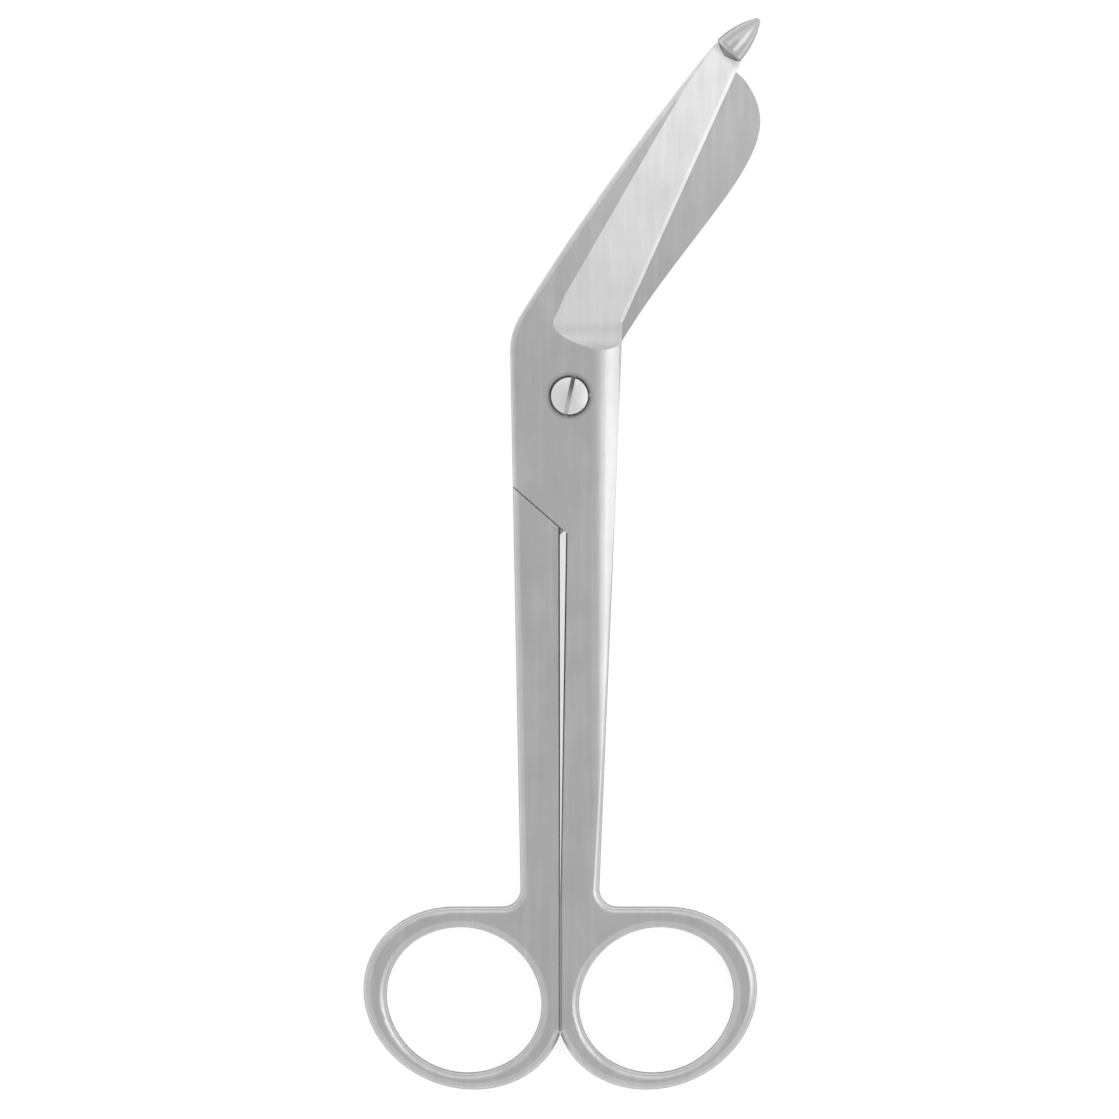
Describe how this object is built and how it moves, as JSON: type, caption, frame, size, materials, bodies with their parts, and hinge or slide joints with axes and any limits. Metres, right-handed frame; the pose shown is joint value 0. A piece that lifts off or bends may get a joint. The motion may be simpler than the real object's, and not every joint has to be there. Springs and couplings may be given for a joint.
{
  "type": "bandage scissors",
  "caption": "Bandage scissors with angled blades, a blunt probe tip on the longer blade, a half-lap screw joint and oval finger rings.",
  "frame": {"origin": "on the pivot axis, in the flat back face the scissors lie on", "axes": "+Y from the finger rings to the blades, +Z along the pivot axis out of the front face, +X to the side the blades bend to"},
  "size_m": [0.0669, 0.1804, 0.0056],
  "materials": {
    "steel": "satin stainless steel, ground faces finely brushed",
    "screw_steel": "bright turned stainless steel"
  },
  "bodies": {
    "rear": {"rear_half": "steel", "pivot_screw": "screw_steel"},
    "front": {"front_half": "steel"}
  },
  "joints": [
    {"name": "pivot", "type": "hinge", "parent": "rear", "child": "front", "pos_m": [0, 0, 0], "axis": [0, 0, 1], "range_deg": [0, 110]}
  ]
}
